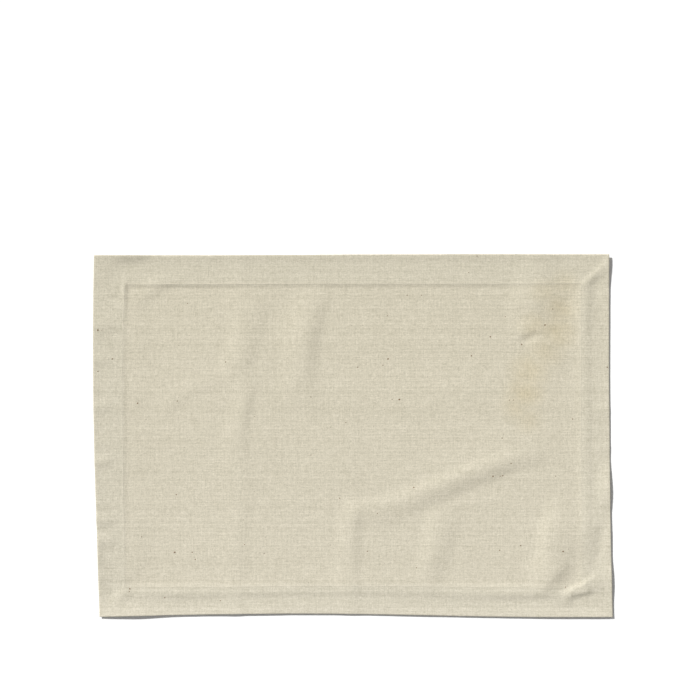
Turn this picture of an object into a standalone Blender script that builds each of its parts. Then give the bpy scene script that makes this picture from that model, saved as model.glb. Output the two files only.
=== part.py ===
"""Hemmed cotton placemat lying flat, built as one solid piece of cloth.

A plain-weave rectangle, longer along X, has its four sides turned under in one
wide hem with mitred corners. The hem's own raw edge is turned in, so a band along
the stitching is three layers thick and the rest of the border two. The folded
outer edge swells a little. The field lies on the table and steps down from the
border's inner edge. Soft creases, and some stretches of the border, stand off
the table.

Frame: metres, +Z up, +X along the long side. The origin is under the middle of
the bounding box, on the plane that the mat rests on.
"""

import math
from typing import NamedTuple

import bmesh
import bpy
from mathutils import Vector

OBJECT_NAME = "placemat"

# Driving sizes
HALF_WIDTH = 0.2500          # middle to either short side
HALF_DEPTH = 0.1755          # middle to either long side
CLOTH_THICKNESS = 0.0010     # the field, with its creases pressed out
HEM_RISE = 0.0009            # the band of three layers, above the field
TURN_RISE = 0.0004           # share of that rise due to the turned-in layer
TURN_DROP_RUN = 0.0040       # width over which the band drops to two layers
EDGE_SWELL = 0.0006          # how far the folded edge swells above two layers
EDGE_SWELL_RUN = 0.0090      # width of that swelling
EDGE_RADIUS = 0.0011         # round of the folded outer edge
EDGE_BLUNTNESS = 0.30        # share of the thickness left at the very edge

# Resolution of the solid
FIELD_COLUMNS = 53
FIELD_ROWS = 34
FIELD_STEPS = (0.0003, 0.0025, 0.0060)           # inside the hem's inner edge
BAND_STEPS = (0.0, 0.0065, 0.0120)               # outside the hem's inner edge
EDGE_STEPS = (0.0, 0.0004, 0.0011, 0.0060)       # inside the outer edge
CREASE_ANGLE = math.radians(40.0)

# Finish
CLOTH_COLOUR = (0.60, 0.55, 0.43, 1.0)
CLOTH_ROUGHNESS = 0.95


class Corner(NamedTuple):
    """How far a corner lies outside the square rectangle, along X and Y."""

    out_x: float
    out_y: float


class SideRow(NamedTuple):
    """One station along a pair of opposite sides.

    The station runs from -1 to 1 along the sides. A bow is how far the edge
    stands outside the straight line between its corners, and a hem is its width.
    """

    station: float
    low_bow: float
    high_bow: float
    low_hem: float
    high_hem: float


class Hem(NamedTuple):
    """Section of one side's hem, as distances from the hem's inner edge.

    The cloth starts to rise run_in inside that edge and is up run_out outside
    it. The turned-in layer is turn_in wide.
    """

    run_in: float
    run_out: float
    turn_in: float


class FoldRow(NamedTuple):
    """One station along a crease: its crest's place and height.

    The reaches are the widths of its two slopes, to the left and to the right of
    someone following the rows.
    """

    x: float
    y: float
    height: float
    left_reach: float
    right_reach: float


class Lift(NamedTuple):
    """A small raised area of the cloth, turned anticlockwise by some degrees."""

    height: float
    middle: tuple
    reach_along: float
    reach_across: float
    turn: float


CORNERS = {
    ("left", "back"): Corner(0.0008, -0.0005),
    ("right", "back"): Corner(-0.0012, 0.0003),
    ("right", "front"): Corner(0.0031, 0.0010),
    ("left", "front"): Corner(-0.0046, 0.0008),
}

# Left and right sides, from the front corner to the back one
UPRIGHT_SIDES = (
    # station, left bow, right bow, left hem, right hem
    SideRow(-1.00, 0.0000, 0.0000, 0.0254, 0.0342),
    SideRow(-0.62, 0.0014, -0.0002, 0.0274, 0.0332),
    SideRow(-0.42, 0.0020, -0.0010, 0.0281, 0.0324),
    SideRow(0.00, 0.0029, -0.0007, 0.0292, 0.0312),
    SideRow(0.50, 0.0029, -0.0001, 0.0294, 0.0309),
    SideRow(0.75, 0.0016, 0.0005, 0.0289, 0.0306),
    SideRow(1.00, 0.0000, 0.0000, 0.0281, 0.0300),
)

# Front and back sides, from the left corner to the right one
LEVEL_SIDES = (
    # station, front bow, back bow, front hem, back hem
    SideRow(-1.00, 0.0000, 0.0000, 0.0298, 0.0274),
    SideRow(-0.60, -0.0023, 0.0000, 0.0278, 0.0272),
    SideRow(-0.23, -0.0033, 0.0002, 0.0278, 0.0272),
    SideRow(0.10, -0.0027, 0.0005, 0.0286, 0.0274),
    SideRow(0.33, -0.0018, 0.0007, 0.0290, 0.0276),
    SideRow(0.60, 0.0000, 0.0003, 0.0297, 0.0277),
    SideRow(0.80, 0.0003, 0.0001, 0.0298, 0.0275),
    SideRow(1.00, 0.0000, 0.0000, 0.0298, 0.0271),
)

HEMS = {
    "left": Hem(run_in=0.0040, run_out=0.0005, turn_in=0.0100),
    "right": Hem(run_in=0.0035, run_out=0.0065, turn_in=0.0110),
    "front": Hem(run_in=0.0050, run_out=0.0005, turn_in=0.0105),
    "back": Hem(run_in=0.0050, run_out=0.0000, turn_in=0.0085),
}

FOLDS = {
    # x, y, height, left reach, right reach
    "quarter_crease": (
        FoldRow(-0.1130, -0.180, 0.0003, 0.016, 0.012),
        FoldRow(-0.1140, -0.120, 0.0005, 0.020, 0.016),
        FoldRow(-0.1135, -0.080, 0.0005, 0.024, 0.020),
        FoldRow(-0.1120, -0.030, 0.0006, 0.026, 0.020),
        FoldRow(-0.1100, 0.000, 0.0008, 0.021, 0.014),
        FoldRow(-0.1050, 0.025, 0.0010, 0.017, 0.012),
        FoldRow(-0.1070, 0.055, 0.0008, 0.022, 0.020),
        FoldRow(-0.1060, 0.085, 0.0012, 0.023, 0.020),
        FoldRow(-0.1050, 0.107, 0.0011, 0.021, 0.024),
        FoldRow(-0.1090, 0.132, 0.0005, 0.018, 0.024),
        FoldRow(-0.1050, 0.180, 0.0004, 0.014, 0.012),
    ),
    "back_slant": (
        FoldRow(-0.0600, 0.020, 0.0000, 0.022, 0.026),
        FoldRow(-0.0540, 0.045, 0.0008, 0.024, 0.027),
        FoldRow(-0.0500, 0.065, 0.0013, 0.025, 0.021),
        FoldRow(-0.0460, 0.085, 0.0017, 0.028, 0.019),
        FoldRow(-0.0440, 0.100, 0.0018, 0.029, 0.019),
        FoldRow(-0.0400, 0.122, 0.0014, 0.026, 0.021),
        FoldRow(-0.0370, 0.148, 0.0000, 0.020, 0.020),
    ),
    "main_slant": (
        FoldRow(-0.0080, -0.076, 0.0000, 0.016, 0.016),
        FoldRow(0.0040, -0.074, 0.0008, 0.017, 0.017),
        FoldRow(0.0320, -0.070, 0.0011, 0.018, 0.021),
        FoldRow(0.0550, -0.062, 0.0014, 0.018, 0.020),
        FoldRow(0.0750, -0.054, 0.0016, 0.019, 0.019),
        FoldRow(0.1030, -0.042, 0.0018, 0.020, 0.018),
        FoldRow(0.1250, -0.034, 0.0018, 0.022, 0.017),
        FoldRow(0.1460, -0.026, 0.0015, 0.024, 0.016),
        FoldRow(0.1660, -0.021, 0.0009, 0.024, 0.015),
        FoldRow(0.1920, -0.015, 0.0000, 0.020, 0.014),
    ),
    "front_upright": (
        FoldRow(0.0010, -0.180, 0.0003, 0.016, 0.012),
        FoldRow(-0.0010, -0.148, 0.0006, 0.020, 0.013),
        FoldRow(-0.0010, -0.115, 0.0009, 0.020, 0.013),
        FoldRow(-0.0010, -0.090, 0.0010, 0.018, 0.013),
        FoldRow(0.0010, -0.076, 0.0008, 0.016, 0.013),
    ),
    "front_slant": (
        FoldRow(0.0660, -0.152, 0.0000, 0.018, 0.020),
        FoldRow(0.0750, -0.130, 0.0010, 0.020, 0.020),
        FoldRow(0.0810, -0.109, 0.0013, 0.018, 0.021),
        FoldRow(0.0840, -0.086, 0.0011, 0.017, 0.028),
        FoldRow(0.0860, -0.064, 0.0000, 0.016, 0.026),
    ),
    "right_slant": (
        FoldRow(0.1760, -0.152, 0.0000, 0.020, 0.016),
        FoldRow(0.1860, -0.141, 0.0010, 0.024, 0.018),
        FoldRow(0.1940, -0.124, 0.0018, 0.023, 0.028),
        FoldRow(0.1940, -0.102, 0.0022, 0.020, 0.040),
        FoldRow(0.1980, -0.083, 0.0016, 0.019, 0.040),
        FoldRow(0.2040, -0.056, 0.0000, 0.016, 0.030),
    ),
    "right_wedge": (
        FoldRow(0.1850, -0.150, 0.0000, 0.026, 0.016),
        FoldRow(0.1940, -0.140, 0.0010, 0.026, 0.015),
        FoldRow(0.2000, -0.133, 0.0012, 0.026, 0.014),
        FoldRow(0.2090, -0.121, 0.0000, 0.024, 0.012),
    ),
    "right_back_slope": (
        FoldRow(0.1960, 0.042, 0.0000, 0.024, 0.016),
        FoldRow(0.1880, 0.080, 0.0006, 0.028, 0.022),
        FoldRow(0.1800, 0.108, 0.0012, 0.032, 0.028),
        FoldRow(0.1780, 0.126, 0.0018, 0.034, 0.032),
        FoldRow(0.1800, 0.142, 0.0015, 0.032, 0.030),
        FoldRow(0.1850, 0.180, 0.0005, 0.026, 0.018),
    ),
}

LIFTS = {
    # height, middle, reach along, reach across, turn
    "right_back_corner": Lift(0.0026, (0.252, 0.180), 0.046, 0.040, 0.0),
    "right_edge": Lift(0.0016, (0.256, -0.064), 0.034, 0.034, 0.0),
    "right_front_edge": Lift(0.0016, (0.258, -0.142), 0.036, 0.024, 0.0),
    "left_front_corner": Lift(0.0023, (-0.214, -0.182), 0.046, 0.034, 0.0),
    "right_front_crumple": Lift(0.0012, (0.225, -0.1505), 0.026, 0.010, 17.0),
    "right_back_mitre": Lift(0.0008, (0.230, 0.153), 0.022, 0.009, 45.0),
}


def clear_scene():
    """Remove every object, so that the script also runs from a used file."""
    for scene_object in list(bpy.data.objects):
        bpy.data.objects.remove(scene_object, do_unlink=True)


def ease(share):
    """Smooth rise from 0 to 1 as share goes from 0 to 1."""
    share = min(max(share, 0.0), 1.0)
    return share * share * (3.0 - 2.0 * share)


def hill(share):
    """Soft hill, 1 at the middle and level with the ground at a share of 1."""
    return (1.0 - min(share * share, 1.0)) ** 2


def blend(low, high, share):
    """Value a share of the way from low to high."""
    return low + (high - low) * share


def side_value(rows, column, station):
    """Value of a column at a station, eased between the rows around it."""
    for before, after in zip(rows, rows[1:]):
        if station <= after.station:
            break
    share = (station - before.station) / (after.station - before.station)
    return blend(getattr(before, column), getattr(after, column), ease(share))


def stations(step_count):
    """Grid stations across the mat, as pairs of a band and a distance or share.

    A distance is taken from the outer edge, or from the hem's inner edge outward
    or inward. The rest of the field is divided evenly.
    """
    low = [("edge_low", step) for step in EDGE_STEPS]
    low += [("band_low", step) for step in reversed(BAND_STEPS)]
    low += [("field_low", step) for step in FIELD_STEPS]
    field = [("field", number / step_count) for number in range(1, step_count)]
    high = [(band.replace("low", "high"), step) for band, step in reversed(low)]
    return low + field + high


def place(station, edges, lines):
    """Coordinate of a grid station, from the outer edges and the hem lines."""
    band, amount = station
    inset = FIELD_STEPS[-1]
    return {
        "edge_low": edges[0] + amount,
        "band_low": lines[0] - amount,
        "field_low": lines[0] + amount,
        "field": blend(lines[0] + inset, lines[1] - inset, amount),
        "field_high": lines[1] - amount,
        "band_high": lines[1] + amount,
        "edge_high": edges[1] - amount,
    }[band]


def corner_value(axis, side_pair, station):
    """Edge coordinate on the straight line between two corners."""
    low, high = (getattr(CORNERS[name], axis) for name in side_pair)
    return blend(low, high, 0.5 * (station + 1.0))


def upright_lines(station):
    """X of the left and right edges and hem lines at a station along Y."""
    left = -HALF_WIDTH - corner_value("out_x", (("left", "front"), ("left", "back")), station)
    right = HALF_WIDTH + corner_value("out_x", (("right", "front"), ("right", "back")), station)
    left -= side_value(UPRIGHT_SIDES, "low_bow", station)
    right += side_value(UPRIGHT_SIDES, "high_bow", station)
    left_line = left + side_value(UPRIGHT_SIDES, "low_hem", station)
    right_line = right - side_value(UPRIGHT_SIDES, "high_hem", station)
    return (left, right), (left_line, right_line)


def level_lines(station):
    """Y of the front and back edges and hem lines at a station along X."""
    front = -HALF_DEPTH - corner_value("out_y", (("left", "front"), ("right", "front")), station)
    back = HALF_DEPTH + corner_value("out_y", (("left", "back"), ("right", "back")), station)
    front -= side_value(LEVEL_SIDES, "low_bow", station)
    back += side_value(LEVEL_SIDES, "high_bow", station)
    front_line = front + side_value(LEVEL_SIDES, "low_hem", station)
    back_line = back - side_value(LEVEL_SIDES, "high_hem", station)
    return (front, back), (front_line, back_line)


def fold_height(rows, point):
    """Height that one crease gives a point, from the nearest place on its crest."""
    nearest = math.inf
    height = 0.0
    for before, after in zip(rows, rows[1:]):
        start = Vector((before.x, before.y))
        run = Vector((after.x, after.y)) - start
        share = min(max((point - start).dot(run) / run.length_squared, 0.0), 1.0)
        offset = point - start - share * run
        if offset.length < nearest:
            nearest = offset.length
            side = "left_reach" if run.cross(offset) > 0.0 else "right_reach"
            reach = blend(getattr(before, side), getattr(after, side), ease(share))
            height = blend(before.height, after.height, ease(share)) * hill(nearest / reach)
    return height


def lift_height(lift, point):
    """Height that one raised area gives a point of the cloth."""
    offset = point - Vector(lift.middle)
    along = Vector((math.cos(math.radians(lift.turn)), math.sin(math.radians(lift.turn))))
    shares = offset.dot(along) / lift.reach_along, along.cross(offset) / lift.reach_across
    return lift.height * hill(math.hypot(*shares))


def rise(point):
    """Height of the cloth's underside off the table, from its folds and lifts."""
    height = sum(fold_height(rows, point) for rows in FOLDS.values())
    return height + sum(lift_height(lift, point) for lift in LIFTS.values())


def layer_heights(hem, edge_gap, line_gap):
    """Lower and upper surface of the flat cloth, from its place across the hem.

    edge_gap is the distance to the outer edge, and line_gap the distance inside
    the hem's inner edge, which is negative on the hem.
    """
    climbed = 1.0 - ease((line_gap + hem.run_out) / (hem.run_in + hem.run_out))
    topside = CLOTH_THICKNESS + HEM_RISE * climbed
    if line_gap > 0.0:
        return topside - CLOTH_THICKNESS, topside
    past_turn = -line_gap - hem.turn_in + 0.5 * TURN_DROP_RUN
    topside -= TURN_RISE * ease(past_turn / TURN_DROP_RUN)
    topside += EDGE_SWELL * (1.0 - ease((edge_gap - EDGE_RADIUS) / EDGE_SWELL_RUN))
    short = min(max(1.0 - edge_gap / EDGE_RADIUS, 0.0), 1.0)
    fullness = blend(EDGE_BLUNTNESS, 1.0, math.sqrt(1.0 - short * short))
    spare = 0.5 * topside * (1.0 - fullness)
    return spare, topside - spare


def build_cloth():
    """Grid, doubled by an extrusion, whose two sheets take the cloth's surfaces."""
    columns = stations(FIELD_COLUMNS)
    rows = stations(FIELD_ROWS)
    cloth = bmesh.new()
    bmesh.ops.create_grid(
        cloth, x_segments=len(columns) - 1, y_segments=len(rows) - 1, size=1.0)
    doubled = bmesh.ops.extrude_face_region(cloth, geom=cloth.faces[:], use_keep_orig=True)
    lower = {item for item in doubled["geom"] if isinstance(item, bmesh.types.BMVert)}
    for vert in cloth.verts:
        column = columns[round(0.5 * (vert.co.x + 1.0) * (len(columns) - 1))]
        row = rows[round(0.5 * (vert.co.y + 1.0) * (len(rows) - 1))]
        # A first guess of the place gives the stations along the sides
        nominal_x = place(column, *upright_lines(0.0)) / HALF_WIDTH
        nominal_y = place(row, *level_lines(0.0)) / HALF_DEPTH
        edges_x, lines_x = upright_lines(min(max(nominal_y, -1.0), 1.0))
        edges_y, lines_y = level_lines(min(max(nominal_x, -1.0), 1.0))
        point = Vector((place(column, edges_x, lines_x), place(row, edges_y, lines_y)))
        edge_gap = min(point.x - edges_x[0], edges_x[1] - point.x,
                       point.y - edges_y[0], edges_y[1] - point.y)
        line_gaps = {"left": point.x - lines_x[0], "right": lines_x[1] - point.x,
                     "front": point.y - lines_y[0], "back": lines_y[1] - point.y}
        side = min(line_gaps, key=line_gaps.get)
        underside, topside = layer_heights(HEMS[side], edge_gap, line_gaps[side])
        level = underside if vert in lower else topside
        vert.co = (point.x, point.y, level + rise(point))
    bmesh.ops.recalc_face_normals(cloth, faces=cloth.faces[:])
    return cloth


def centre_on_origin(cloth):
    """Move the cloth so that the middle of its box stands on the origin."""
    corners = [[function(vert.co[axis] for vert in cloth.verts) for axis in range(3)]
               for function in (min, max)]
    low, high = Vector(corners[0]), Vector(corners[1])
    shift = Vector((-0.5 * (low.x + high.x), -0.5 * (low.y + high.y), -low.z))
    bmesh.ops.translate(cloth, verts=cloth.verts[:], vec=shift)


def cloth_material():
    """Unbleached cotton: matt, warm grey-white."""
    material = bpy.data.materials.new("unbleached_cotton")
    material.use_nodes = True
    shader = material.node_tree.nodes["Principled BSDF"]
    shader.inputs["Base Color"].default_value = CLOTH_COLOUR
    shader.inputs["Roughness"].default_value = CLOTH_ROUGHNESS
    shader.inputs["Metallic"].default_value = 0.0
    return material


def main():
    """Build the placemat in a collection of its own."""
    clear_scene()
    collection = bpy.data.collections.new(OBJECT_NAME)
    bpy.context.scene.collection.children.link(collection)
    cloth = build_cloth()
    centre_on_origin(cloth)
    mesh = bpy.data.meshes.new(OBJECT_NAME)
    cloth.to_mesh(mesh)
    cloth.free()
    mesh.shade_smooth()
    mesh.set_sharp_from_angle(angle=CREASE_ANGLE)
    mesh.materials.append(cloth_material())
    collection.objects.link(bpy.data.objects.new(OBJECT_NAME, mesh))


main()
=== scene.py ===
"""Looks of a hemmed cotton placemat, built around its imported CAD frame.

The cloth is one sheet. It is drawn as a grid, carried round its outer fold and under on
all four sides into a double hem with mitred corners, laid with its creases, and given
its thickness last. The sewing thread and the husk flecks that unbleached cotton keeps
are pieces of their own on it.

Frame: metres, +Z up, +X along the long side, the table at the bottom of the CAD box.
"""

import logging
import math
from collections.abc import Callable
from dataclasses import dataclass
from enum import Enum
from typing import NamedTuple

import bmesh
import bpy
import numpy as np
from mathutils import Matrix, Vector


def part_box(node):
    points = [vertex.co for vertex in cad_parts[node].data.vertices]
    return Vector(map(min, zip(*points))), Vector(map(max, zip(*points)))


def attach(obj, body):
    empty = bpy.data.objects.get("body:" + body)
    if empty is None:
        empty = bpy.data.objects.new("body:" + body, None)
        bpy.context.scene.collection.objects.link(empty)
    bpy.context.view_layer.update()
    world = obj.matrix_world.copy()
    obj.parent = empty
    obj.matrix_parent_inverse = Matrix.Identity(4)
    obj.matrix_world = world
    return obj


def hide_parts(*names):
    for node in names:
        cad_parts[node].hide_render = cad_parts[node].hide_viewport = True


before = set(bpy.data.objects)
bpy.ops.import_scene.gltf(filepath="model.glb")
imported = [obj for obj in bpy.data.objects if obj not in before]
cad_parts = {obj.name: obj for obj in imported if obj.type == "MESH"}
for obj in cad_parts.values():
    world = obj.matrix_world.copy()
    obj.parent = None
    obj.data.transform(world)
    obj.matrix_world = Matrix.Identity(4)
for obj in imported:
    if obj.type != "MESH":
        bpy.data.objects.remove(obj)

Array = np.ndarray
log = logging.getLogger("placemat")

NODE = "placemat"
BODY = "root"
MM = 0.001

# The cloth's layers, as heights of their middle surfaces above the table
PLY = 0.00038                # thickness of one layer
HALF_PLY = 0.5 * PLY
FIELD_LEVEL = 0.00022
UNDER_LEVEL = 0.00028        # the hem's lowest layer, which lies on its stitches
TURNED_LEVEL = 0.00068       # the raw edge turned in, or the top layer where it is not
UPPER_LEVEL = 0.00108        # the top layer over the turned-in one

CREST_SHARE = 0.12           # share of a narrow crest's reach that is rounded

# Steps between whole numbers that keep the random values of neighbouring yarns apart
NUMBER_STEP = 1.317
SLUB_STEP = 3.71
KNOT_STEP = 5.13


def ease(share: Array) -> Array:
    """Smooth rise from 0 to 1 as share goes from 0 to 1."""
    share = np.clip(share, 0.0, 1.0)
    return share * share * (3.0 - 2.0 * share)


def hill(share: Array) -> Array:
    """Soft hill, 1 at the middle and level with the ground at a share of 1."""
    return (1.0 - np.minimum(share * share, 1.0)) ** 2


def ridge(distance: Array, reach: Array) -> Array:
    """Height beside a narrow crest, which falls away steepest close to it.

    Args:
        distance: distance from the crest.
        reach: where the slope has run out.

    Returns:
        The height, from 1 on the crest to 0.
    """
    crest = CREST_SHARE * reach
    down = (np.hypot(distance, crest) - crest) / reach
    return (1.0 - np.minimum(down, 1.0)) ** 3


def blend(low: Array, high: Array, share: Array) -> Array:
    """Value a share of the way from low to high."""
    return low + (high - low) * share


def smooth_table(stations: Array, values: Array, at: Array) -> Array:
    """Read a table on a smooth curve through its rows.

    Args:
        stations: rising stations of the rows.
        values: one value for each row.
        at: the stations to read, held within the table's own range.

    Returns:
        The values read.
    """
    slopes = np.gradient(values, stations)
    at = np.clip(at, stations[0], stations[-1])
    row = np.clip(np.searchsorted(stations, at) - 1, 0, len(stations) - 2)
    width = stations[row + 1] - stations[row]
    share = (at - stations[row]) / width
    rest = 1.0 - share
    start = values[row] * (1.0 + 2.0 * share) * rest**2 + slopes[row] * width * share * rest**2
    end = values[row + 1] * (3.0 - 2.0 * share) * share**2
    return start + end - slopes[row + 1] * width * rest * share**2


def tabulate(kind: type, lengths: int, *rows: tuple) -> tuple:
    """Make a table's rows, whose first columns are lengths in millimetres.

    Args:
        kind: the rows' class.
        lengths: how many columns are lengths.
        rows: the values of each row.

    Returns:
        The rows, in metres.
    """
    return tuple(kind(*(value * MM for value in row[:lengths]), *row[lengths:])
                 for row in rows)


# ---------------------------------------------------------------- how the cloth lies


class SideName(Enum):
    """The four sides, each with its axis and the sign of its outward direction."""

    LEFT = (0, -1)
    RIGHT = (0, 1)
    FRONT = (1, -1)
    BACK = (1, 1)


OPPOSITE_SIDES = ((SideName.LEFT, SideName.RIGHT), (SideName.FRONT, SideName.BACK))


class SideRow(NamedTuple):
    """One station along a side, in metres along it from the middle.

    The edge is the outer fold's distance from the middle, the hem is its width, the
    turn is the width of the raw edge turned in, and lift is how far the outer fold is
    off the table. Firm is the share of the hem's step that is taken at the stitching
    and not by the field rising slowly to it. Drop is how much of the turned-in layer's
    thickness shows past it. What drop has beyond 1 is a bulge: the top layer stands
    that much higher over the turned-in one.
    """

    along: float
    edge: float
    hem: float
    turn: float
    lift: float
    firm: float
    drop: float


@dataclass(frozen=True)
class Side:
    """One side of the mat: its outline and the section of its hem.

    The hem rises over run_in and run_out, on either side of its inner edge, and falls
    over drop_run past its turned-in layer. The stitches lie stitch_in from the inner
    edge, where the cloth swells by bead. At the outer fold the top layer stands puff
    higher.
    """

    name: SideName
    run_in: float
    run_out: float
    drop_run: float
    stitch_in: float
    bead: float
    puff: float
    rows: tuple[SideRow, ...]

    def read(self, column: str, along: Array) -> Array:
        """Read one column of the side's rows.

        Args:
            column: the name of the column.
            along: places along the side, in metres.

        Returns:
            The column's value at each place.
        """
        stations = np.array([row.along for row in self.rows])
        values = np.array([getattr(row, column) for row in self.rows])
        return smooth_table(stations, values, along)


class CreaseRow(NamedTuple):
    """One station along a crease: its crest's place and height, and its slopes' reach."""

    x: float
    y: float
    height: float
    left_reach: float
    right_reach: float


@dataclass(frozen=True)
class Crease:
    """A soft ridge along a short path, whose two slopes may differ.

    Peaked is how far the right slope is steepest at the crest and not half way down.
    Each row is divided into steps short straight runs.
    """

    name: str
    rows: tuple[CreaseRow, ...]
    peaked: float = 0.0
    steps: int = 6

    def path(self) -> Array:
        """Read the rows on a smooth curve.

        Returns:
            One line for each point of the path, with the columns of CreaseRow.
        """
        numbers = np.arange(len(self.rows), dtype=float)
        at = np.linspace(0.0, numbers[-1], self.steps * (len(self.rows) - 1) + 1)
        columns = np.array(self.rows, dtype=float).T
        return np.stack([smooth_table(numbers, column, at) for column in columns], axis=1)

    def height(self, x: Array, y: Array) -> Array:
        """Height that the crease gives each point, from the nearest place on its crest.

        Args:
            x: places along X.
            y: places along Y.

        Returns:
            The height at each place.
        """
        path = self.path()
        reach = np.max(path[:, 3:])
        low, high = path[:, :2].min(axis=0) - reach, path[:, :2].max(axis=0) + reach
        near = (x > low[0]) & (x < high[0]) & (y > low[1]) & (y < high[1])
        px, py = x[near], y[near]
        nearest = np.full(px.shape, np.inf)
        found = np.zeros(px.shape)
        for start, end in zip(path, path[1:]):
            run = end[:2] - start[:2]
            share = ((px - start[0]) * run[0] + (py - start[1]) * run[1]) / run.dot(run)
            share = np.clip(share, 0.0, 1.0)
            off_x = px - start[0] - share * run[0]
            off_y = py - start[1] - share * run[1]
            distance = np.hypot(off_x, off_y)
            on_left = run[0] * off_y - run[1] * off_x > 0.0
            slope = np.where(
                on_left, blend(start[3], end[3], share), blend(start[4], end[4], share))
            profile = blend(hill(distance / slope), ridge(distance, slope),
                            self.peaked * ~on_left)
            height = blend(start[2], end[2], share) * profile
            found = np.where(distance < nearest, height, found)
            nearest = np.minimum(distance, nearest)
        result = np.zeros(x.shape)
        result[near] = found
        return result


class Raised(NamedTuple):
    """A small raised area, or a hollow where the height is below 0."""

    height: float
    x: float
    y: float
    reach_along: float
    reach_across: float
    turn: float
    name: str

    def level(self, x: Array, y: Array) -> Array:
        """Height that the raised area gives each point.

        Args:
            x: places along X.
            y: places along Y.

        Returns:
            The height at each place.
        """
        cosine, sine = math.cos(math.radians(self.turn)), math.sin(math.radians(self.turn))
        along = cosine * (x - self.x) + sine * (y - self.y)
        across = cosine * (y - self.y) - sine * (x - self.x)
        return self.height * hill(np.hypot(along / self.reach_along, across / self.reach_across))


@dataclass(frozen=True)
class Unevenness:
    """The shallow waves of cloth that has been washed and not pressed hard."""

    height: float
    wavelength: float
    waves: int
    seed: int
    stretch: tuple[float, float] = (0.7, 1.8)

    def level(self, x: Array, y: Array) -> Array:
        """Height of the waves at each point, never below 0.

        Args:
            x: places along X.
            y: places along Y.

        Returns:
            The height at each place.
        """
        chance = np.random.default_rng(self.seed)
        total = np.zeros(x.shape)
        for _ in range(self.waves):
            heading = chance.uniform(0.0, math.tau)
            rate = math.tau / (self.wavelength * chance.uniform(*self.stretch))
            phase = chance.uniform(0.0, math.tau)
            total += np.cos(rate * (x * math.cos(heading) + y * math.sin(heading)) + phase)
        total /= math.sqrt(0.5 * self.waves)
        return self.height * (1.0 + np.tanh(total))


def side_rows(*rows: tuple[float, ...]) -> tuple[SideRow, ...]:
    """Make a side's rows, whose lengths are in millimetres."""
    return tabulate(SideRow, 5, *rows)


def crease(name: str, *rows: tuple[float, ...], peaked: float = 0.0) -> Crease:
    """Make a crease from rows in millimetres."""
    return Crease(name, tabulate(CreaseRow, 5, *rows), peaked)


# side rows: along, edge, hem, turn and lift in millimetres, firm and drop
SIDES = (
    Side(SideName.LEFT, run_in=0.0034, run_out=0.0002, drop_run=0.0042,
         stitch_in=0.0011, bead=0.00006, puff=0.0002, rows=side_rows(
        (-176, 245.4, 25.4, 8, 0.6, 0.05, 0.2), (-147, 246.6, 26.6, 8, 0.2, 0.05, 0.2),
        (-105, 247.9, 27.8, 8, 0, 0.2, 0.1), (-74, 249, 28.1, 8, 0, 0.35, 0.1),
        (-5, 251, 29.2, 8, 0, 0.45, 0.1), (75, 252.1, 30.1, 8, 0, 0.4, 0.1),
        (120, 251.9, 30.9, 8, 0, 0.45, 0.1), (147, 251.6, 31.8, 8, 0, 0.6, 0.1),
        (176, 250.8, 31.4, 8, 0, 0.6, 0.1))),
    Side(SideName.RIGHT, run_in=0.0058, run_out=0.0058, drop_run=0.0028,
         stitch_in=0.0012, bead=0.0, puff=0.0003, rows=side_rows(
        (-176, 253.3, 31.2, 8, 1.3, 1, 0.7), (-105, 251.7, 29.4, 8, 1.1, 1, 0.7),
        (-50, 250.7, 28.6, 8.2, 0.7, 0.9, 0.7), (5, 250.4, 28.8, 8.8, 0.6, 0.9, 0.7),
        (52, 250, 28.8, 8.6, 0.6, 0.8, 0.7), (100, 249.9, 28.5, 8, 0.7, 0.9, 0.6),
        (140, 249.9, 28.4, 8, 1, 0.9, 0.6), (176, 249.6, 28.2, 8, 1.3, 1, 0.5))),
    Side(SideName.FRONT, run_in=0.0062, run_out=0.0078, drop_run=0.0068,
         stitch_in=0.0014, bead=0.00004, puff=0.0003, rows=side_rows(
        (-250, 176.8, 30.3, 7.8, 1.2, 0.5, 0.6), (-215, 175.9, 29.5, 8, 1.6, 0.8, 1.4),
        (-190, 175.3, 29, 8, 1.7, 0.9, 2), (-140, 174.4, 28.2, 7.8, 1.6, 0.9, 2),
        (-118, 174.1, 28.1, 7.2, 1.7, 0.8, 1.4), (-95, 173.8, 28.1, 6.8, 1.8, 0.6, 2),
        (-55, 173.5, 28.2, 6.4, 1.9, 0.5, 1.6), (0, 173.9, 28.8, 6.4, 1.7, 0.4, 1.5),
        (50, 174.7, 29.4, 6.8, 1.4, 0.4, 1.4), (110, 176, 29.6, 8, 1.4, 0.8, 1.9),
        (150, 176.6, 30.1, 8.2, 1.6, 0.9, 2.8), (185, 176.9, 30.2, 7.4, 1.8, 0.6, 2.8),
        (215, 176.9, 30.3, 7.4, 1.8, 0.7, 1.4), (250, 176.9, 30.4, 7.4, 1.8, 0.9, 1.2))),
    Side(SideName.BACK, run_in=0.003, run_out=0.0002, drop_run=0.0042,
         stitch_in=0.0009, bead=0.00016, puff=0.0005, rows=side_rows(
        (-250, 175, 29.4, 5.4, 0, 0.6, 0.3), (-205, 175, 29.4, 5.4, 0, 0.75, 0.3),
        (-180, 175, 29.3, 5.4, 0, 0.75, 0.4), (-135, 175, 29.2, 5.4, 0, 0.8, 0.4),
        (-110, 175.1, 29.2, 5.4, 0, 0.6, 0.4), (-45, 175.4, 29.2, 5.4, 0, 0.5, 0.5),
        (0, 175.7, 29.4, 5.4, 0, 0.65, 0.5), (60, 175.9, 29.6, 5.4, 0, 0.5, 0.4),
        (110, 176.1, 29.8, 5.4, 0, 0.6, 0.3), (150, 176.1, 29.8, 5.4, 0, 0.45, 0.2),
        (185, 176, 29.6, 5.4, 0, 0.3, 0.1), (250, 175.8, 29, 5.4, 0, 0.4, 0.2))),
)

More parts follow.
